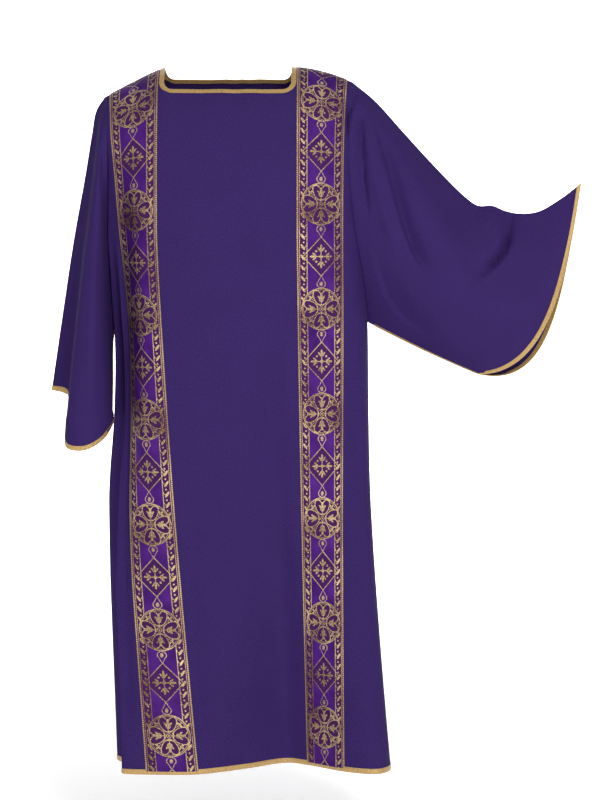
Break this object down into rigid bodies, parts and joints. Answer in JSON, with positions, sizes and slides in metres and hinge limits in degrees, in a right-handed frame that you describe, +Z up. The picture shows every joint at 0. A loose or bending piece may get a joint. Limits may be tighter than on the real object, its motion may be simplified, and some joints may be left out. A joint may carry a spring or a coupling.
{
  "type": "dalmatic",
  "caption": "Wide-sleeved dalmatic in plain purple cloth with woven galloon bands front and back and gold bias bindings, in a worn pose with its left sleeve held out.",
  "frame": {"origin": "mid-neck on the shoulder line, where the wearer's shoulders hold the garment", "axes": "+Z up, the front faces -Y, the wearer's left is +X"},
  "size_m": [0.9657, 0.3469, 1.2558],
  "materials": {
    "purple_cloth": "matte plain weave wool blend, soft drape",
    "galloon": "woven jacquard band, violet satin ground with metallic gold figures",
    "gold_binding": "old gold satin bias binding"
  },
  "bodies": {
    "root": {"front_panel": "purple_cloth", "back_panel": "purple_cloth", "sleeve_left": "purple_cloth", "sleeve_right": "purple_cloth", "galloon_left_front": "galloon", "galloon_left_back": "galloon", "galloon_right_front": "galloon", "galloon_right_back": "galloon", "neck_binding": "gold_binding", "hem_binding": "gold_binding", "cuff_binding_left": "gold_binding", "cuff_binding_right": "gold_binding", "underarm_binding_left": "gold_binding", "underarm_binding_right": "gold_binding"}
  },
  "joints": []
}
